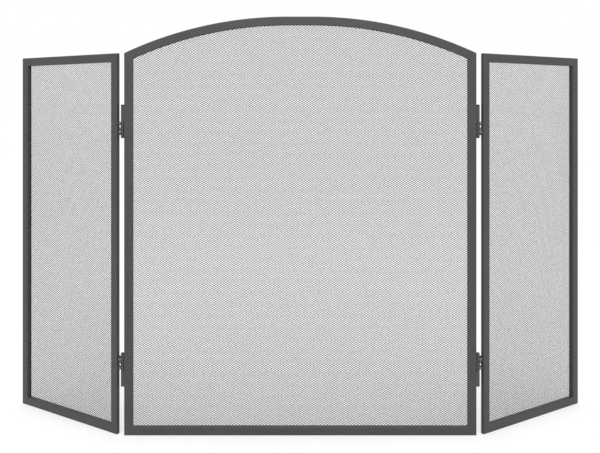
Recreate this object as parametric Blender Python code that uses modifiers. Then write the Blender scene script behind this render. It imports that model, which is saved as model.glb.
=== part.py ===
"""Three-panel folding fireplace screen: an arched centre panel and two flat-topped wings on four hinges.

Metres, +Z up. The origin is the middle of the centre panel's underside, the front faces -Y and +X is to
the right. Each wing hangs from an empty on its hinge axis, turned back by REST_FOLD.
"""

import math

import bmesh
import bpy
from mathutils import Matrix, Vector

MM = 0.001

# Centre panel
CENTRE_WIDTH = 705 * MM
CENTRE_HEIGHT = 838 * MM
CROWN_HALF_LENGTH = 25 * MM  # the straight stretch at the top of the arch
ARCH_RISE = 73 * MM  # from the shoulders to the crown

# Wings, whose tops are level with the centre panel's shoulders
WING_WIDTH = 303 * MM
REST_FOLD = math.radians(35)
PANEL_GAP = 9.0 * MM  # between the side faces of two neighbouring stiles when the wing is in line

# Frame tube
TUBE_WIDTH = 17.6 * MM
TUBE_DEPTH = 8.8 * MM
TUBE_WALL = 1.0 * MM
TUBE_CORNER = 2.0 * MM
CORNER_SEGMENTS = 4
FRAME_CORNER = 2.2 * MM  # the radius to which a frame's outer corners are ground
FRAME_CORNER_CUTS = 3

# Clearance that pieces which touch keep between their solids
TOUCH = 0.3 * MM

# Mesh sheet and the flat strips that hold its edges
MESH_LAP = 7.5 * MM  # how far the sheet lies over the inner side of the tubes' backs
MESH_THICKNESS = 1.0 * MM
STRIP_WIDTH = 6 * MM
STRIP_THICKNESS = 1.5 * MM

# Hinges
BARREL_RADIUS = 3.6 * MM
BARREL_WALL = 1.5 * MM
HINGE_LENGTH = 68 * MM
HINGE_OUTBOARD = 5.2 * MM  # from the centre stile's side face to the hinge axis
UPPER_HINGE_DROP = 137 * MM  # from the wings' tops to the middle of the hinge
LOWER_HINGE_HEIGHT = 128.5 * MM
LEAF_THICKNESS = 1.5 * MM
LEAF_TO_MESH = 1.3 * MM  # clearance between a leaf's edge and the mesh
LEAF_FROM_MIDDLE = 3.0 * MM  # from the middle of the hinge to the near end of both leaves
WINDOW_HEIGHT = 5.0 * MM
WINDOW_START = 2.0 * MM  # from the hinge axis, along the leaf
WINDOW_LAP = 3.0 * MM  # how far a window goes on over the back of the stile
PIN_END_INSET = 0.8 * MM
PIN_ROUND = 0.5 * MM
END_SEGMENTS = 4  # round the ends of barrels and pins

# The two halves of a hinge: how round the barrel's far end is, how far the leaf stays from that end,
# and whether the leaf has windows
FRAME_HALF = {"end_round": 0.5 * MM, "leaf_from_end": 3.0 * MM, "windows": False}
WING_HALF = {"end_round": 2.0 * MM, "leaf_from_end": 6.5 * MM, "windows": True}

# How finely round stretches are divided
ARCH_STEPS = 26
BARREL_SEGMENTS = 32

# Worked out from the sizes above
TUBE_BACK = TUBE_DEPTH / 2
MESH_FRONT = TUBE_BACK + TOUCH
MESH_EDGE_INSET = TUBE_WIDTH - MESH_LAP
LEAF_LAP = MESH_EDGE_INSET - LEAF_TO_MESH
STRIP_FRONT = MESH_FRONT + MESH_THICKNESS + TOUCH
HINGE_X = CENTRE_WIDTH / 2 + HINGE_OUTBOARD
HINGE_Y = TUBE_BACK + TOUCH + BARREL_RADIUS
WING_START = PANEL_GAP - HINGE_OUTBOARD  # from the hinge axis to the wing's own side face
SHOULDER_HEIGHT = CENTRE_HEIGHT - ARCH_RISE
WING_HEIGHT = SHOULDER_HEIGHT
UPPER_HINGE_HEIGHT = WING_HEIGHT - UPPER_HINGE_DROP
ARC_RUN = CENTRE_WIDTH / 2 - CROWN_HALF_LENGTH
ARC_RADIUS = (ARC_RUN**2 + ARCH_RISE**2) / (2 * ARCH_RISE)
ARC_ANGLE = math.asin(ARC_RUN / ARC_RADIUS)
ARC_CENTRE = Vector((CROWN_HALF_LENGTH, 0, CENTRE_HEIGHT - ARC_RADIUS))
PIN_RADIUS = BARREL_RADIUS - BARREL_WALL - TOUCH
SIDES = {"left": -1, "right": 1}

# The depth and inset of the two kinds of bar that frame a panel: (first inset, width, front, depth)
TUBE_SECTION = (0.0, TUBE_WIDTH, -TUBE_BACK, TUBE_DEPTH)
STRIP_SECTION = (MESH_EDGE_INSET, STRIP_WIDTH, STRIP_FRONT, STRIP_THICKNESS)


def new_collection(name):
    found = bpy.data.collections.new(name)
    bpy.context.scene.collection.children.link(found)
    return found


def new_material(name, colour, roughness, metallic):
    material = bpy.data.materials.new(name)
    material.use_nodes = True
    shader = material.node_tree.nodes["Principled BSDF"]
    shader.inputs["Base Color"].default_value = (*colour, 1)
    shader.inputs["Roughness"].default_value = roughness
    shader.inputs["Metallic"].default_value = metallic
    return material


def add_object(name, bm, material, parent, collection=None):
    """Turns bm into an object with outward normals, under parent."""
    bmesh.ops.recalc_face_normals(bm, faces=bm.faces[:])
    if bm.calc_volume(signed=True) < 0:  # a tube's ring-shaped ends can mislead the line above
        bmesh.ops.reverse_faces(bm, faces=bm.faces[:])
    mesh = bpy.data.meshes.new(name)
    bm.to_mesh(mesh)
    bm.free()
    mesh.materials.append(material)
    made = bpy.data.objects.new(name, mesh)
    made.parent = parent
    (collection or parts).objects.link(made)
    return made


def rounded_rectangle(first, width, front, depth, radius, segments):
    """Corner-rounded outline as (inset, depth) pairs. A radius of 0 gives the four plain corners."""
    last, back = first + width, front + depth
    if radius <= 0:
        return [(first, front), (last, front), (last, back), (first, back)]
    middle_inset, middle_depth = first + width / 2, front + depth / 2
    outline = []
    for quarter in range(4):
        turn = math.pi / 2 * quarter
        side_inset = math.copysign(width / 2 - radius, math.cos(turn + math.pi / 4))
        side_depth = math.copysign(depth / 2 - radius, math.sin(turn + math.pi / 4))
        for step in range(segments + 1):
            angle = turn + math.pi / 2 * step / segments
            inset = middle_inset + side_inset + radius * math.cos(angle)
            outline.append((inset, middle_depth + side_depth + radius * math.sin(angle)))
    return outline


def bar_loops(section, hollow):
    """The outlines of a bar's section: a rounded outer one, and an inner one if it is a tube."""
    if not hollow:
        return [rounded_rectangle(*section, 0, 1)]
    first, width, front, depth = section
    core = (first + TUBE_WALL, width - 2 * TUBE_WALL, front + TUBE_WALL, depth - 2 * TUBE_WALL)
    inner_corner = max(TUBE_CORNER - TUBE_WALL, TUBE_WALL / 4)
    return [
        rounded_rectangle(*section, TUBE_CORNER, CORNER_SEGMENTS),
        rounded_rectangle(*core, inner_corner, CORNER_SEGMENTS),
    ]


def draw_loops(bm, loops, start, inward):
    """Closed edge loops at start, with each point's inset along inward and its depth along Y."""
    edges = []
    for loop in loops:
        points = [bm.verts.new(start + inward * inset + Vector((0, depth, 0))) for inset, depth in loop]
        edges += [bm.edges.new((a, b)) for a, b in zip(points, points[1:] + points[:1], strict=True)]
    return edges


def extrude_edges(bm, edges, way):
    made = bmesh.ops.extrude_edge_only(bm, edges=edges)["geom"]
    verts = [g for g in made if isinstance(g, bmesh.types.BMVert)]
    bmesh.ops.translate(bm, vec=way, verts=verts)
    return [g for g in made if isinstance(g, bmesh.types.BMEdge) and all(v in verts for v in g.verts)]


def cut_off(bm, point, outward):
    """Cuts away what lies beyond the plane through point, and closes the cut."""
    everything = bm.verts[:] + bm.edges[:] + bm.faces[:]
    cut = bmesh.ops.bisect_plane(
        bm, geom=everything, dist=1e-7, plane_co=point, plane_no=outward, clear_outer=True
    )
    edges = [g for g in cut["geom_cut"] if isinstance(g, bmesh.types.BMEdge)]
    bmesh.ops.triangle_fill(bm, edges=edges, use_beauty=True, normal=outward)


def mitre(bm, corner, outward):
    """Cuts the bar at a plane through corner, half a clearance short of it. That leaves a plain face on a
    solid bar, and a ring on a tube."""
    cut_off(bm, corner - outward * TOUCH / 2, outward)


def round_tip(bm, corner, way, other):
    """Grinds the tip of a mitred tube to the frame's round outer corner, with cuts along its tangents.
    The two bars leave the corner along way and other."""
    inward = (way.normalized() + other.normalized()).normalized()
    half = inward.angle(way)
    middle = corner + inward * FRAME_CORNER / math.sin(half)
    for step in range(1, FRAME_CORNER_CUTS + 1):
        turn = (math.pi / 2 - half) * (2 * step / (FRAME_CORNER_CUTS + 1) - 1)
        outward = Matrix.Rotation(turn, 3, "Y") @ -inward
        cut_off(bm, middle + outward * FRAME_CORNER, outward)


def mitre_normal(along, other):
    """The normal of the plane that halves the corner where a bar runs along, away from it, and its
    neighbour runs along other, away from it. It points out of the first bar."""
    return (other.normalized() - along.normalized()).normalized()


def straight_bar(name, corners, first, section, hollow, material, parent, shoulder=None):
    """The bar between corners[first] and the next corner of an outline, mitred at both ends.
    shoulder maps a corner's number to the way its other bar leaves it, where that bar is curved."""
    shoulder = shoulder or {}
    second = (first + 1) % len(corners)
    a, b = corners[first], corners[second]
    along = (b - a).normalized()
    middle = sum(corners, Vector()) / len(corners)
    inward = along.cross(Vector((0, 1, 0)))
    if inward.dot(middle - a) < 0:
        inward.negate()
    overrun = along * (section[0] + section[1])
    bm = bmesh.new()
    loops = bar_loops(section, hollow)
    edges = draw_loops(bm, loops, a - overrun, inward)
    extrude_edges(bm, edges, b - a + 2 * overrun)
    before = shoulder.get(first, corners[first - 1] - a)
    after = shoulder.get(second, corners[(second + 1) % len(corners)] - b)
    mitre(bm, a, mitre_normal(along, before))
    mitre(bm, b, mitre_normal(-along, after))
    if hollow:
        round_tip(bm, a, along, before)
        round_tip(bm, b, -along, after)
    return add_object(name, bm, material, parent)


def arch_way(side):
    """The way the arch leaves the shoulder on one side, rising towards the crown."""
    return Vector((-side * math.cos(ARC_ANGLE), 0, math.sin(ARC_ANGLE)))


def arched_bar(name, section, hollow, material, parent):
    """The bar along the arch, mitred at the shoulders: one half, and a Mirror modifier for the other."""
    bm = bmesh.new()
    down = Vector((0, 0, -1))
    edges = draw_loops(bm, bar_loops(section, hollow), Vector((0, 0, CENTRE_HEIGHT)), down)
    edges = extrude_edges(bm, edges, Vector((CROWN_HALF_LENGTH, 0, 0)))
    overrun = (section[0] + section[1]) / ARC_RADIUS
    bmesh.ops.spin(
        bm,
        geom=edges,
        cent=ARC_CENTRE,
        axis=(0, 1, 0),
        angle=ARC_ANGLE + overrun,
        steps=ARCH_STEPS,
        use_duplicate=False,
    )
    shoulder = Vector((CENTRE_WIDTH / 2, 0, SHOULDER_HEIGHT))
    mitre(bm, shoulder, mitre_normal(arch_way(1), down))
    if hollow:
        round_tip(bm, shoulder, arch_way(1), down)
    made = add_object(name, bm, material, parent)
    mirror = made.modifiers.new("other_half", "MIRROR")
    mirror.use_axis = (True, False, False)
    mirror.use_mirror_merge = True
    mirror.merge_threshold = 0.00001
    return made


def sheet(name, outline, material, parent):
    """A flat sheet with this outline of (x, z) pairs, behind the tubes."""
    curve = bpy.data.curves.new(name, "CURVE")
    curve.dimensions = "2D"
    curve.fill_mode = "BOTH"
    curve.extrude = MESH_THICKNESS / 2
    spline = curve.splines.new("POLY")
    spline.points.add(len(outline) - 1)
    for point, (x, z) in zip(spline.points, outline, strict=True):
        point.co = (x, z, 0, 1)
    spline.use_cyclic_u = True
    curve.materials.append(material)
    flat = bpy.data.objects.new(name + "_outline", curve)
    bpy.context.scene.collection.objects.link(flat)
    mesh = bpy.data.meshes.new_from_object(flat.evaluated_get(bpy.context.evaluated_depsgraph_get()))
    bpy.data.objects.remove(flat)
    bm = bmesh.new()
    bm.from_mesh(mesh)
    bmesh.ops.remove_doubles(bm, verts=bm.verts[:], dist=0.00001)
    # The curve lies in XY, so it is stood up and moved back to where the sheet hangs
    stand = Matrix.Translation((0, MESH_FRONT + MESH_THICKNESS / 2, 0)) @ Matrix.Rotation(math.pi / 2, 4, "X")
    bmesh.ops.transform(bm, matrix=stand, verts=bm.verts[:])
    return add_object(name, bm, material, parent)


def arched_outline(inset):
    """The centre panel's outline, inset all round: up the right side, over the arch and down the left."""
    radius = ARC_RADIUS - inset
    edge = CENTRE_WIDTH / 2 - inset
    end = math.asin((edge - CROWN_HALF_LENGTH) / radius)
    half = [(edge, inset)]
    for step in range(ARCH_STEPS + 1):
        angle = end * (1 - step / ARCH_STEPS)
        half.append((ARC_CENTRE.x + radius * math.sin(angle), ARC_CENTRE.z + radius * math.cos(angle)))
    return half + [(-x, z) for x, z in reversed(half)]


def cylinder(name, radius, low, high, segments, rounds, material, parent, collection=None):
    """An upright cylinder on parent's Z axis. rounds maps 'low' and 'high' to that end's edge radius."""
    bm = bmesh.new()
    bmesh.ops.create_cone(
        bm, cap_ends=True, segments=segments, radius1=radius, radius2=radius, depth=high - low
    )
    bmesh.ops.translate(bm, vec=(0, 0, (low + high) / 2), verts=bm.verts[:])
    for end, size in rounds.items():
        level = low if end == "low" else high
        rim = [e for e in bm.edges if all(abs(v.co.z - level) < 1e-6 for v in e.verts)]
        bmesh.ops.bevel(bm, geom=rim, offset=size, segments=END_SEGMENTS, profile=0.5, affect="EDGES")
    return add_object(name, bm, material, parent, collection)


def box(name, low, high, material, parent, collection=None):
    bm = bmesh.new()
    bmesh.ops.create_cube(bm, size=1)
    low, high = Vector(low), Vector(high)
    stretch = Matrix.Diagonal((*(high - low), 1))
    bmesh.ops.transform(bm, matrix=Matrix.Translation((low + high) / 2) @ stretch, verts=bm.verts[:])
    return add_object(name, bm, material, parent, collection)


def combine(target, operation, other):
    """Joins other to target or cuts it out, with other kept as a wire-drawn helper."""
    other.hide_render = True
    other.display_type = "WIRE"
    cut = target.modifiers.new(other.name, "BOOLEAN")
    cut.operation = operation
    cut.solver = "EXACT"
    cut.object = other


def hinge_half(name, kind, way, up, edge, parent):
    """Half a barrel with its leaf. kind is FRAME_HALF or WING_HALF, way is the side its leaf lies on, +1
    for +X, and up is 1 for the half above the hinge's middle. edge is how far the stile's side face is
    from the axis, along way."""

    def lift(near, far):
        return (near, far) if up > 0 else (-far, -near)

    near, far = lift(TOUCH / 2, HINGE_LENGTH / 2)
    far_end = "high" if up > 0 else "low"
    rounds = {far_end: kind["end_round"]}
    barrel = cylinder(name, BARREL_RADIUS, near, far, BARREL_SEGMENTS, rounds, hinge_paint, parent)
    leaf_low, leaf_high = lift(LEAF_FROM_MIDDLE, HINGE_LENGTH / 2 - kind["leaf_from_end"])
    reach = way * (edge + LEAF_LAP)
    leaf = box(
        name + "_leaf",
        (min(0, reach), -BARREL_RADIUS, leaf_low),
        (max(0, reach), -BARREL_RADIUS + LEAF_THICKNESS, leaf_high),
        hinge_paint,
        parent,
        cutters,
    )
    bore = cylinder(
        name + "_bore",
        BARREL_RADIUS - BARREL_WALL,
        near - BARREL_RADIUS,
        far + BARREL_RADIUS,
        BARREL_SEGMENTS,
        {},
        hinge_paint,
        parent,
        cutters,
    )
    combine(barrel, "UNION", leaf)
    combine(barrel, "DIFFERENCE", bore)
    middle = (leaf_low + leaf_high) / 2
    spacing = WINDOW_HEIGHT + (leaf_high - leaf_low - 2 * WINDOW_HEIGHT) / 3
    for number, side in enumerate((-1, 1) if kind["windows"] else ()):
        height = middle + side * spacing / 2
        across = sorted((way * WINDOW_START, way * (edge + WINDOW_LAP)))
        window = box(
            f"{name}_window_{number}",
            (across[0], -BARREL_RADIUS - LEAF_THICKNESS, height - WINDOW_HEIGHT / 2),
            (across[1], -BARREL_RADIUS + 2 * LEAF_THICKNESS, height + WINDOW_HEIGHT / 2),
            hinge_paint,
            parent,
            cutters,
        )
        combine(barrel, "DIFFERENCE", window)


def empty(name, place, turn=0.0, parent=None):
    made = bpy.data.objects.new(name, None)
    made.empty_display_size = TUBE_WIDTH
    made.location = place
    made.rotation_euler = (0, 0, turn)
    made.parent = parent
    parts.objects.link(made)
    return made


def build_centre():
    half = CENTRE_WIDTH / 2
    corners = [
        Vector((-half, 0, SHOULDER_HEIGHT)),
        Vector((-half, 0, 0)),
        Vector((half, 0, 0)),
        Vector((half, 0, SHOULDER_HEIGHT)),
    ]
    shoulders = {0: arch_way(-1), 3: arch_way(1)}
    runs = {"left": 0, "bottom": 1, "right": 2}
    tube_names = {"left": "centre_left_stile", "bottom": "centre_bottom_rail", "right": "centre_right_stile"}
    for place, first in runs.items():
        straight_bar(tube_names[place], corners, first, TUBE_SECTION, True, frame_paint, None, shoulders)
        name = f"centre_{place}_strip"
        straight_bar(name, corners, first, STRIP_SECTION, False, strip_paint, None, shoulders)
    arched_bar("centre_arch_rail", TUBE_SECTION, True, frame_paint, None)
    arched_bar("centre_arch_strip", STRIP_SECTION, False, strip_paint, None)
    sheet("centre_mesh", arched_outline(MESH_EDGE_INSET), mesh_paint, None)


def build_wing(side):
    """A wing as if in line with the centre panel, under an empty on its hinge axis that folds it back."""
    way = SIDES[side]
    pivot = empty(f"{side}_wing_pivot", (way * HINGE_X, HINGE_Y, 0), way * REST_FOLD)
    panel = empty(f"{side}_wing_panel", (0, -HINGE_Y, 0), 0.0, pivot)
    near, far = way * WING_START, way * (WING_START + WING_WIDTH)
    corners = [
        Vector((near, 0, WING_HEIGHT)),
        Vector((near, 0, 0)),
        Vector((far, 0, 0)),
        Vector((far, 0, WING_HEIGHT)),
    ]
    tube_names = ("inner_stile", "bottom_rail", "outer_stile", "top_rail")
    strip_names = ("inner_strip", "bottom_strip", "outer_strip", "top_strip")
    for first in range(len(corners)):
        tube_name = f"{side}_wing_{tube_names[first]}"
        straight_bar(tube_name, corners, first, TUBE_SECTION, True, frame_paint, panel)
        strip_name = f"{side}_wing_{strip_names[first]}"
        straight_bar(strip_name, corners, first, STRIP_SECTION, False, strip_paint, panel)
    left, right = sorted((near, far))
    low, high = MESH_EDGE_INSET, WING_HEIGHT - MESH_EDGE_INSET
    left, right = left + MESH_EDGE_INSET, right - MESH_EDGE_INSET
    outline = [(left, low), (right, low), (right, high), (left, high)]
    sheet(f"{side}_wing_mesh", outline, mesh_paint, panel)
    return pivot


def build_hinge(side, level, height, frame_half, pivot):
    """One hinge. frame_half is 1 where the centre panel has the upper half, and the wing has the other."""
    way = SIDES[side]
    name = f"{side}_{level}_hinge"
    on_frame = empty(f"{name}_on_frame", (way * HINGE_X, HINGE_Y, height))
    on_wing = empty(f"{name}_on_wing", (0, 0, height), 0.0, pivot)
    hinge_half(f"{name}_frame_leaf", FRAME_HALF, -way, frame_half, HINGE_OUTBOARD, on_frame)
    hinge_half(f"{name}_wing_leaf", WING_HALF, way, -frame_half, WING_START, on_wing)
    end = HINGE_LENGTH / 2 - PIN_END_INSET
    rounds = {"low": PIN_ROUND, "high": PIN_ROUND}
    cylinder(f"{name}_pin", PIN_RADIUS, -end, end, BARREL_SEGMENTS, rounds, pin_steel, on_frame)


for old in list(bpy.data.objects):
    bpy.data.objects.remove(old)

parts = new_collection("fireplace_screen")
cutters = new_collection("cutters")
cutters.hide_render = True

frame_paint = new_material("frame_paint", (0.085, 0.087, 0.09), 0.55, 0.2)
strip_paint = new_material("strip_paint", (0.075, 0.077, 0.08), 0.6, 0.2)
mesh_paint = new_material("mesh_paint", (0.12, 0.12, 0.125), 0.6, 0.3)
hinge_paint = new_material("hinge_paint", (0.1, 0.1, 0.105), 0.45, 0.3)
pin_steel = new_material("pin_steel", (0.45, 0.45, 0.46), 0.3, 1.0)

build_centre()
for wing_side in SIDES:
    wing_pivot = build_wing(wing_side)
    build_hinge(wing_side, "upper", UPPER_HINGE_HEIGHT, 1, wing_pivot)
    build_hinge(wing_side, "lower", LOWER_HINGE_HEIGHT, -1, wing_pivot)
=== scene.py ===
"""The looks of the three-panel fireplace screen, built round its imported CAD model.

Metres, +Z up, and the screen's front faces -Y. A panel's own space is the row frame turned about Z until
that panel faces -Y too, so a piece is drawn facing the front and then turned by panel_turn.
"""

import math

import bmesh
import bpy
import numpy as np
from mathutils import Matrix, Vector


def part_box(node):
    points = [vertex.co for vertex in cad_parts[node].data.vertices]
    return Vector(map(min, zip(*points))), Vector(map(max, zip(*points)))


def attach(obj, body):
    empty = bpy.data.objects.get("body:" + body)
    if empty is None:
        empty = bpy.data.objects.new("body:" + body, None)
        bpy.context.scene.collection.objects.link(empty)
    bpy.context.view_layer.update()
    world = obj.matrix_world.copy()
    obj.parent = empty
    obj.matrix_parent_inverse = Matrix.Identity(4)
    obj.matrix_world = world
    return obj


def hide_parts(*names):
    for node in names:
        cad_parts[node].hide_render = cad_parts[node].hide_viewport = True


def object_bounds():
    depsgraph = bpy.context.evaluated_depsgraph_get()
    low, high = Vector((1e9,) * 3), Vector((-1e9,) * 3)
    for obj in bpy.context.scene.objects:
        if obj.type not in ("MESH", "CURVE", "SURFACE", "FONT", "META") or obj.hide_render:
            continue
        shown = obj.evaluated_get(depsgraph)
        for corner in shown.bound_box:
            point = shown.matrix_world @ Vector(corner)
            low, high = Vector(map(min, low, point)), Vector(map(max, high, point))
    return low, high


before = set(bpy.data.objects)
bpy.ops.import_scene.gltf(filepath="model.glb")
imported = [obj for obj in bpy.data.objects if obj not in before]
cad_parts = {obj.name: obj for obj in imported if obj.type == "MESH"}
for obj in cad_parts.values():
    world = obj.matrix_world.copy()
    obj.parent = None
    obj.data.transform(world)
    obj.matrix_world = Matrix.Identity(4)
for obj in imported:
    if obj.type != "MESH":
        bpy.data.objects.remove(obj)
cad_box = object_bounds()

MM = 0.001

# Expanded metal: one cell's width and height, and the strand that it is cut into
CELL_WIDTH = 6.8 * MM
CELL_HEIGHT = 4.405 * MM
STRAND_WIDTH = 0.76 * MM
STRAND_THICKNESS = 0.28 * MM
STRAND_TILT = math.radians(20)
BOND_LAP = 0.3  # the share of a strand's width by which two strands run into each other at a bond
EDGE_MARGIN = 0.4 * MM  # from the sheet's edge to the nearest strand
BAND_FACES = 90_000  # the most four-sided faces in one band of a sheet

# Corner welds, ground nearly flush: they fill the clearance between two mitred tubes
TUBE_CORNER = 2.0 * MM  # the radius along the tube's edges
FRAME_CORNER = 2.2 * MM  # the radius of a frame's outer corners
MITRE_GAP = 0.3 * MM
WELD_SUNK = 0.05 * MM  # ground down below the tube's skin
WELD_REACH = 0.25 * MM  # into each tube's end
WELD_CUTS = 5  # round each corner of the weld's outline

# Beads that weld a wing's stile to its hinge leaf and to the barrel: where each starts and ends, measured
# from the hinge's middle towards its end, and how far it reaches from the corner of stile and leaf
BEADS = ((0.3 * MM, 6.6 * MM, 4.1 * MM), (11.8 * MM, 17.2 * MM, 2.2 * MM), (18.0 * MM, 24.6 * MM, 4.3 * MM))
BEAD_SUNK = 0.3 * MM  # into the leaf and the stile
BEAD_RIPPLE = 1.6 * MM  # from one ripple to the next
BEAD_RIPPLE_DEPTH = 0.1  # a share of the bead's reach
BEAD_BLUNTNESS = 6  # the higher, the longer the bead keeps its full reach towards its ends
BEAD_TIP = 0.02  # the square of the share of its reach that a bead has at its very ends
BEAD_RINGS = 28
BEAD_CUTS = 10  # round the bead's face

# Camera: how far it stands in front of the tubes' faces, how far left of the middle, its height, its lens
# and its shift
CAMERA_DISTANCE = 1.6307
CAMERA_LEFT = 0.0006
CAMERA_HEIGHT = 0.6546
CAMERA_SENSOR = 36.0
CAMERA_LENS = 48.95
CAMERA_SHIFT = -0.1972

WING_TUBES = ("inner_stile", "outer_stile", "top_rail", "bottom_rail")

FLOOR_SIZE = 120.0
FLOOR_TONES = (0.49, 0.5)
FLOOR_GLOW = 0.48  # lifts the floor to the tone of the world, so that no horizon shows

# Soft lights: place, width and height, and power in watts
LAMPS = {
    "front_softbox": ((0, -3.0, 2.6), (1.4, 1.0), 48),
    "left_softbox": ((-1.8, -2.4, 1.9), (1.2, 1.6), 8),
    "right_softbox": ((1.8, -2.4, 1.9), (1.2, 1.6), 8),
}

# Powder coat: the slow changes in tone and gloss over the finish's fine grain
CLOUD_SCALE = 14.0
CLOUD_TONES = (0.86, 1.0)
GLOSS_SPREAD = 0.05


def nodes_called(*endings):
    return sorted(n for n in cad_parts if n.endswith(endings))


# ---------------------------------------------------------------- materials


def node(tree, kind, **values):
    """A new node with these settings, each one a property of the node or the value of an input."""
    made = tree.nodes.new(kind)
    for name, value in values.items():
        if name in made.bl_rna.properties:
            setattr(made, name, value)
        else:
            made.inputs[name.replace("_", " ")].default_value = value
    return made


def noise(tree, scale, detail=2.0, roughness=0.5, stretch=(1, 1, 1)):
    """Noise in the piece's own space, with features about 1 / scale metres across."""
    place = node(tree, "ShaderNodeTexCoord")
    mapping = node(tree, "ShaderNodeMapping", Scale=stretch)
    made = node(tree, "ShaderNodeTexNoise", Scale=scale, Detail=detail, Roughness=roughness)
    tree.links.new(place.outputs["Object"], mapping.inputs["Vector"])
    tree.links.new(mapping.outputs["Vector"], made.inputs["Vector"])
    return made.outputs["Fac"]


def ramp(tree, source, stops):
    """A colour ramp with (position, grey or colour) stops."""
    made = node(tree, "ShaderNodeValToRGB")
    elements = made.color_ramp.elements
    while len(elements) < len(stops):
        elements.new(0.5)
    for element, (position, colour) in zip(elements, stops, strict=True):
        element.position = position
        element.color = (*colour, 1) if isinstance(colour, tuple) else (colour, colour, colour, 1)
    tree.links.new(source, made.inputs["Fac"])
    return made.outputs["Color"]


def mixed(tree, kind, share, first, second):
    made = node(tree, "ShaderNodeMix", data_type="RGBA", blend_type=kind)
    made.inputs["Factor"].default_value = share
    tree.links.new(first, made.inputs["A"])
    tree.links.new(second, made.inputs["B"])
    return made.outputs["Result"]


def ranged(tree, source, low, high):
    made = node(tree, "ShaderNodeMapRange", From_Min=0.25, From_Max=0.75, To_Min=low, To_Max=high)
    tree.links.new(source, made.inputs["Value"])
    return made.outputs["Result"]


def new_material(name, metallic, specular):
    material = bpy.data.materials.new(name)
    material.use_nodes = True
    shader = material.node_tree.nodes["Principled BSDF"]
    shader.inputs["Metallic"].default_value = metallic
    shader.inputs["Specular IOR Level"].default_value = specular
    return material, material.node_tree, shader


def bumped(tree, shader, height, strength, depth):
    bump = node(tree, "ShaderNodeBump", Strength=strength, Distance=depth)
    tree.links.new(height, bump.inputs["Height"])
    tree.links.new(bump.outputs["Normal"], shader.inputs["Normal"])


def powder_coat(name, dark, light, roughness, grain, depth, specular=0.4):
    """Textured powder coat: a fine grain in colour and height, and slow changes in tone and gloss. grain is
    the grain's scale, as in noise, and depth its height."""
    material, tree, shader = new_material(name, 0.0, specular)
    fine = noise(tree, grain, 3.0, 0.6)
    slow = noise(tree, CLOUD_SCALE, 3.0, 0.55)
    grains = ramp(tree, fine, [(0.32, dark), (0.68, light)])
    clouds = ramp(tree, slow, [(0.3, CLOUD_TONES[0]), (0.7, CLOUD_TONES[1])])
    tree.links.new(mixed(tree, "MULTIPLY", 1.0, grains, clouds), shader.inputs["Base Color"])
    gloss = ranged(tree, slow, roughness - GLOSS_SPREAD, roughness + GLOSS_SPREAD)
    tree.links.new(gloss, shader.inputs["Roughness"])
    bumped(tree, shader, fine, 0.5, depth)
    return material


def plated_steel(name, dark, light, roughness, stretch, scale):
    """Bare or plated steel with fine draw marks along the direction that stretch leaves coarse."""
    material, tree, shader = new_material(name, 1.0, 0.5)
    marks = noise(tree, scale, 4.0, 0.6, stretch)
    tree.links.new(ramp(tree, marks, [(0.3, dark), (0.7, light)]), shader.inputs["Base Color"])
    tree.links.new(ranged(tree, marks, roughness + 0.08, roughness - 0.06), shader.inputs["Roughness"])
    bumped(tree, shader, marks, 0.3, 0.03 * MM)
    return material


def paint(piece, material):
    """Gives the piece one material."""
    piece.data.materials.clear()
    piece.data.materials.append(material)


frame_coat = powder_coat("frame_coat", (0.025, 0.025, 0.0255), (0.058, 0.058, 0.059), 0.43, 900.0, 0.09 * MM)
strip_coat = powder_coat("strip_coat", (0.024, 0.024, 0.0245), (0.053, 0.053, 0.054), 0.5, 900.0, 0.09 * MM)
mesh_coat = powder_coat("mesh_coat", (0.016, 0.016, 0.0163), (0.038, 0.038, 0.0385), 0.5, 1400.0, 0.03 * MM)
hinge_coat = powder_coat(
    "hinge_coat", (0.03, 0.03, 0.0305), (0.065, 0.065, 0.066), 0.25, 1100.0, 0.03 * MM, specular=0.6
)
# The hinges' weld beads get a lighter coat than the hinge itself. This is a painted highlight: it stands in
# for the light their rounded lumps catch, not a different paint.
painted_highlight_weld_coat = powder_coat(
    "painted_highlight_weld_coat", (0.1, 0.1, 0.101), (0.17, 0.17, 0.172), 0.3, 1100.0, 0.03 * MM, specular=0.6
)
pin_metal = plated_steel("pin_metal", (0.2, 0.2, 0.205), (0.42, 0.42, 0.43), 0.34, (1, 1, 6), 500.0)

for name in nodes_called("_stile", "_rail"):
    paint(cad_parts[name], frame_coat)
for name in nodes_called("_strip"):
    paint(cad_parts[name], strip_coat)
for name in nodes_called("_leaf"):
    paint(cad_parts[name], hinge_coat)
for name in nodes_called("_pin"):
    paint(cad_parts[name], pin_metal)

# ---------------------------------------------------------------- panels


def panel_turn(sheet):
    """How far a panel is turned about Z from facing -Y, from its sheet's largest face."""
    normal = max(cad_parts[sheet].data.polygons, key=lambda face: face.area).normal
    if normal.y > 0:
        normal = -normal
    return math.atan2(normal.x, -normal.y)


def own_box(turn, *nodes):
    """The lowest and highest corners of these CAD nodes in their panel's own space."""
    back = Matrix.Rotation(-turn, 3, "Z")
    points = [back @ v.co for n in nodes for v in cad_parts[n].data.vertices]
    return Vector(map(min, zip(*points))), Vector(map(max, zip(*points)))


def place(name, mesh, turn, body, material, slot, *stands_for):
    """Adds a piece drawn in its panel's own space, turned to where the panel is."""
    mesh.transform(Matrix.Rotation(turn, 4, "Z"))
    mesh.update()
    piece = bpy.data.objects.new(name, mesh)
    bpy.context.scene.collection.objects.link(piece)
    paint(piece, material)
    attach(piece, body)
    if stands_for:
        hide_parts(*stands_for)
    return piece


# ---------------------------------------------------------------- expanded metal


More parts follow.
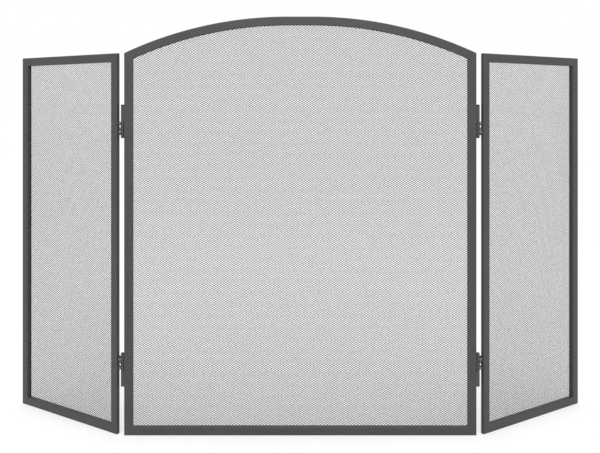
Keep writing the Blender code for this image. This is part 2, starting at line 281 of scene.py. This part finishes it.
def strand_section():
    """The strand's four corners as (depth, height) from its middle, tilted as the press leaves it."""
    slope = math.atan2(CELL_HEIGHT / 2, CELL_WIDTH / 2)
    corners = []
    for across, through in ((-1, -1), (1, -1), (1, 1), (-1, 1)):
        width, thickness = across * STRAND_WIDTH / 2, through * STRAND_THICKNESS / 2
        height = width * math.cos(STRAND_TILT) - thickness * math.sin(STRAND_TILT)
        depth = width * math.sin(STRAND_TILT) + thickness * math.cos(STRAND_TILT)
        corners.append((depth, height / math.cos(slope)))
    return corners


def strand_turns(row, left, right):
    """Where zigzag strand number row turns between left and right, as x and z arrays."""
    half_cell = CELL_WIDTH / 2
    columns = np.arange(math.ceil(left / half_cell), math.floor(right / half_cell) + 1)
    swing = CELL_HEIGHT / 4 - STRAND_WIDTH * (1 - BOND_LAP) / 2
    side = np.where((columns + row) % 2 == 0, 1, -1)
    return columns * half_cell, row * CELL_HEIGHT / 2 + side * swing


def expanded_metal(name, rows, width_at, depth):
    """A mesh of the zigzag strands in these rows. width_at gives the sheet's left and right at a height."""
    section = np.array(strand_section())
    corner = np.arange(4)
    places, faces, start = [], [], 0
    for row in rows:
        xs, zs = strand_turns(row, *width_at(row * CELL_HEIGHT / 2))
        if len(xs) < 2:
            continue
        turns = np.zeros((len(xs), 4, 3))
        turns[:, :, 0] = xs[:, None]
        turns[:, :, 1] = depth + section[None, :, 0]
        turns[:, :, 2] = zs[:, None] + section[None, :, 1]
        places.append(turns.reshape(-1, 3))
        ring = start + 4 * np.arange(len(xs) - 1)[:, None] + corner[None, :]
        beside = start + 4 * np.arange(len(xs) - 1)[:, None] + (corner[None, :] + 1) % 4
        faces.append(np.stack((ring, ring + 4, beside + 4, beside), axis=-1).reshape(-1, 4))
        last = start + 4 * (len(xs) - 1)
        faces.append(np.array([start + corner, last + corner[::-1]]))
        start += 4 * len(xs)
    places, faces = np.concatenate(places), np.concatenate(faces)
    mesh = bpy.data.meshes.new(name)
    mesh.vertices.add(len(places))
    mesh.vertices.foreach_set("co", places.astype(np.float32).ravel())
    mesh.loops.add(faces.size)
    mesh.loops.foreach_set("vertex_index", faces.astype(np.int32).ravel())
    mesh.polygons.add(len(faces))
    mesh.polygons.foreach_set("loop_start", np.arange(0, faces.size, 4, dtype=np.int32))
    mesh.update(calc_edges=True)
    return mesh


def lay_sheet(sheet, body, turn, width_at):
    """Fills a panel's sheet with expanded metal, in bands that each stay below BAND_FACES."""
    low, high = own_box(turn, sheet)
    row_height = CELL_HEIGHT / 2
    first = math.ceil((low.z + EDGE_MARGIN) / row_height)
    rows = range(first, math.floor((high.z - EDGE_MARGIN) / row_height))
    faces_in_row = 4 * (high.x - low.x) / (CELL_WIDTH / 2)
    bands = math.ceil(len(rows) * faces_in_row / BAND_FACES)
    for band in range(bands):
        mine = rows[len(rows) * band // bands : len(rows) * (band + 1) // bands]
        name = f"{sheet}_band_{band + 1}"
        mesh = expanded_metal(name, mine, width_at, (low.y + high.y) / 2)
        place(name, mesh, turn, body, mesh_coat, "mesh_paint", sheet)


def arch():
    """The sheet's arch in the centre panel: its crown's half length, and its arc's radius and middle."""
    verts = [v.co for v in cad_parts["centre_mesh"].data.vertices]
    top = max(v.z for v in verts)
    side = max(v.x for v in verts)
    crown = max(v.x for v in verts if v.z > top - 0.01 * MM)
    shoulder = max(v.z for v in verts if v.x > side - 0.01 * MM)
    run, rise = side - crown, top - shoulder
    radius = (run**2 + rise**2) / (2 * rise)
    return crown, radius, top - radius, side, shoulder


def build_sheets():
    crown, radius, middle, side, shoulder = arch()

    def arched_width(height):
        reach = side
        if height > shoulder:
            reach = crown + math.sqrt(max(radius**2 - (height - middle) ** 2, 0))
        return -reach + EDGE_MARGIN, reach - EDGE_MARGIN

    lay_sheet("centre_mesh", "centre_panel", 0.0, arched_width)
    for wing in ("left_wing", "right_wing"):
        sheet = f"{wing}_mesh"
        turn = panel_turn(sheet)
        low, high = own_box(turn, sheet)
        edges = (low.x + EDGE_MARGIN, high.x - EDGE_MARGIN)
        lay_sheet(sheet, wing, turn, lambda height, edges=edges: edges)


build_sheets()

# ---------------------------------------------------------------- welds


def weld_outline(width, front, back):
    """The tube's section sunk by WELD_SUNK, as (inset, depth) pairs from the frame's outer edge."""
    radius = TUBE_CORNER - WELD_SUNK
    outline = []
    for quarter in range(4):
        inset = TUBE_CORNER if quarter in (1, 2) else width - TUBE_CORNER
        depth = front + TUBE_CORNER if quarter in (2, 3) else back - TUBE_CORNER
        for step in range(WELD_CUTS + 1):
            angle = math.pi / 2 * (quarter + step / WELD_CUTS)
            outline.append((inset + radius * math.cos(angle), depth + radius * math.sin(angle)))
    return outline


def closed_loft(bm, rings):
    """Adds the closed body that runs through these rings of points, with its ends capped."""
    rings = [[bm.verts.new(point) for point in ring] for ring in rings]
    for first, second in zip(rings, rings[1:]):
        for i in range(len(first)):
            bm.faces.new((first[i - 1], first[i], second[i], second[i - 1]))
    bm.faces.new(rings[0])
    bm.faces.new(rings[-1])


def finished_mesh(name, bm):
    bmesh.ops.recalc_face_normals(bm, faces=bm.faces[:])
    mesh = bpy.data.meshes.new(name)
    bm.to_mesh(mesh)
    bm.free()
    return mesh


def weld_corners(name, body, turn, tube, corners):
    """Fills a frame's mitres. tube is the tubes' width, front and back in the panel's own space, and corners
    gives each outer corner's place and the ways that its two tubes leave it."""
    bm = bmesh.new()
    for corner, one, other in corners:
        one, other = one.normalized(), other.normalized()
        inward = (one + other).normalized()
        slope = math.sin(inward.angle(one))
        across = inward.cross(Vector((0, 1, 0))) * (MITRE_GAP / 2 + WELD_REACH)
        least = FRAME_CORNER * (1 - slope) + WELD_SUNK
        ring = [
            corner + inward * max(inset, least) / slope + Vector((0, depth, 0))
            for inset, depth in weld_outline(*tube)
        ]
        closed_loft(bm, ([p - across for p in ring], [p + across for p in ring]))
    place(name, finished_mesh(name, bm), turn, body, frame_coat, "frame_paint")


def tube_section(turn, stile):
    """A stile's width, front and back in its panel's own space."""
    low, high = own_box(turn, stile)
    return high.x - low.x, low.y, high.y


def build_corner_welds():
    up, down = Vector((0, 0, 1)), Vector((0, 0, -1))
    left, right = Vector((-1, 0, 0)), Vector((1, 0, 0))
    for wing in ("left_wing", "right_wing"):
        turn = panel_turn(f"{wing}_mesh")
        low, high = own_box(turn, *(f"{wing}_{tube}" for tube in WING_TUBES))
        corners = [
            (Vector((x, 0, z)), inward, along)
            for x, inward in ((low.x, right), (high.x, left))
            for z, along in ((low.z, up), (high.z, down))
        ]
        tube = tube_section(turn, f"{wing}_outer_stile")
        weld_corners(f"{wing}_corner_welds", wing, turn, tube, corners)

    low, high = own_box(0.0, "centre_bottom_rail", "centre_left_stile", "centre_right_stile")
    shoulder = own_box(0.0, "left_wing_top_rail")[1].z  # the wings' tops are level with the shoulders
    crown, radius, _, side, _ = arch()
    frame_radius = radius + high.x - side
    slope = math.asin((high.x - crown) / frame_radius)
    corners = []
    for way, inward in ((-1, right), (1, left)):
        corners.append((Vector((way * high.x, 0, low.z)), inward, up))
        arch_way = Vector((-way * math.cos(slope), 0, math.sin(slope)))
        corners.append((Vector((way * high.x, 0, shoulder)), arch_way, down))
    tube = tube_section(0.0, "centre_left_stile")
    weld_corners("centre_corner_welds", "centre_panel", 0.0, tube, corners)


def bead_rings(corner, towards, low, high, reach):
    """The rings of a rippled bead from low to high in the inside corner at corner's x and y. It reaches along
    the leaf towards the barrel (towards is 1 for +X), and along the stile's side face to the front."""
    length = high - low
    rings = []
    for number in range(BEAD_RINGS + 1):
        along = number / BEAD_RINGS
        swell = math.sqrt(max(1 - (2 * along - 1) ** BEAD_BLUNTNESS, BEAD_TIP))
        wave = abs(math.cos(math.pi * along * length / BEAD_RIPPLE))
        ripple = 1 - BEAD_RIPPLE_DEPTH * (1 - wave)
        far = reach * swell * ripple + BEAD_SUNK
        root = Vector((corner.x - towards * BEAD_SUNK, corner.y + BEAD_SUNK, low + length * along))
        ring = [root]
        for step in range(BEAD_CUTS + 1):
            angle = math.pi / 2 * step / BEAD_CUTS
            ring.append(root + Vector((towards * far * math.cos(angle), -far * math.sin(angle), 0)))
        rings.append(ring)
    return rings


def build_hinge_welds():
    for side, towards in (("left", 1), ("right", -1)):
        wing = f"{side}_wing"
        turn = panel_turn(f"{wing}_mesh")
        stile_low, stile_high = own_box(turn, f"{wing}_inner_stile")
        side_face = stile_high.x if towards > 0 else stile_low.x
        for level in ("upper", "lower"):
            leaf_low, leaf_high = own_box(turn, f"{side}_{level}_hinge_wing_leaf")
            # The flat of the leaf is level with the front of its barrel
            corner = Vector((side_face, leaf_low.y, 0))
            pin_low, pin_high = own_box(turn, f"{side}_{level}_hinge_pin")
            middle = (pin_low.z + pin_high.z) / 2
            away = 1 if leaf_high.z > pin_high.z else -1
            bm = bmesh.new()
            for near, far, reach in BEADS:
                low, high = sorted((middle + away * near, middle + away * far))
                closed_loft(bm, bead_rings(corner, towards, low, high, reach))
            name = f"{side}_{level}_hinge_weld_beads"
            # The beads take the lighter coat, a painted highlight
            place(name, finished_mesh(name, bm), turn, wing, painted_highlight_weld_coat, "hinge_paint")


build_corner_welds()
build_hinge_welds()

# ---------------------------------------------------------------- stage, light and camera


def area_light(name, location, target, size, power):
    data = bpy.data.lights.new(name, "AREA")
    data.shape = "RECTANGLE"
    data.size, data.size_y = size
    data.energy = power
    lamp = bpy.data.objects.new(name, data)
    lamp.location = location
    lamp.rotation_euler = (Vector(target) - Vector(location)).to_track_quat("-Z", "Y").to_euler()
    bpy.context.scene.collection.objects.link(lamp)


def build_floor():
    bm = bmesh.new()
    bmesh.ops.create_grid(bm, x_segments=1, y_segments=1, size=FLOOR_SIZE / 2)
    mesh = bpy.data.meshes.new("floor")
    bm.to_mesh(mesh)
    bm.free()
    floor = bpy.data.objects.new("floor", mesh)
    bpy.context.scene.collection.objects.link(floor)
    material, tree, shader = new_material("floor_paint", 0.0, 0.2)
    tone = ramp(tree, noise(tree, 3.0), [(0.3, FLOOR_TONES[0]), (0.7, FLOOR_TONES[1])])
    tree.links.new(tone, shader.inputs["Base Color"])
    shader.inputs["Roughness"].default_value = 0.9
    shader.inputs["Emission Color"].default_value = (1, 1, 1, 1)
    shader.inputs["Emission Strength"].default_value = FLOOR_GLOW
    paint(floor, material)


def build_world():
    world = bpy.data.worlds.new("studio")
    world.use_nodes = True
    background = world.node_tree.nodes["Background"]
    background.inputs["Color"].default_value = (1, 1, 1, 1)
    background.inputs["Strength"].default_value = 1.0
    bpy.context.scene.world = world


def build_camera():
    data = bpy.data.cameras.new("camera")
    data.sensor_width = CAMERA_SENSOR
    data.lens = CAMERA_LENS
    data.shift_y = CAMERA_SHIFT
    data.clip_end = FLOOR_SIZE
    camera = bpy.data.objects.new("camera", data)
    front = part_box("centre_bottom_rail")[0].y
    camera.location = (-CAMERA_LEFT, front - CAMERA_DISTANCE, CAMERA_HEIGHT)
    camera.rotation_euler = (math.pi / 2, 0, 0)
    bpy.context.scene.collection.objects.link(camera)
    bpy.context.scene.camera = camera


build_floor()
build_world()
for lamp_name, (lamp_place, lamp_size, watts) in LAMPS.items():
    area_light(lamp_name, lamp_place, (0, 0, cad_box[1].z / 2), lamp_size, watts)
build_camera()
bpy.context.scene.view_settings.view_transform = "Standard"
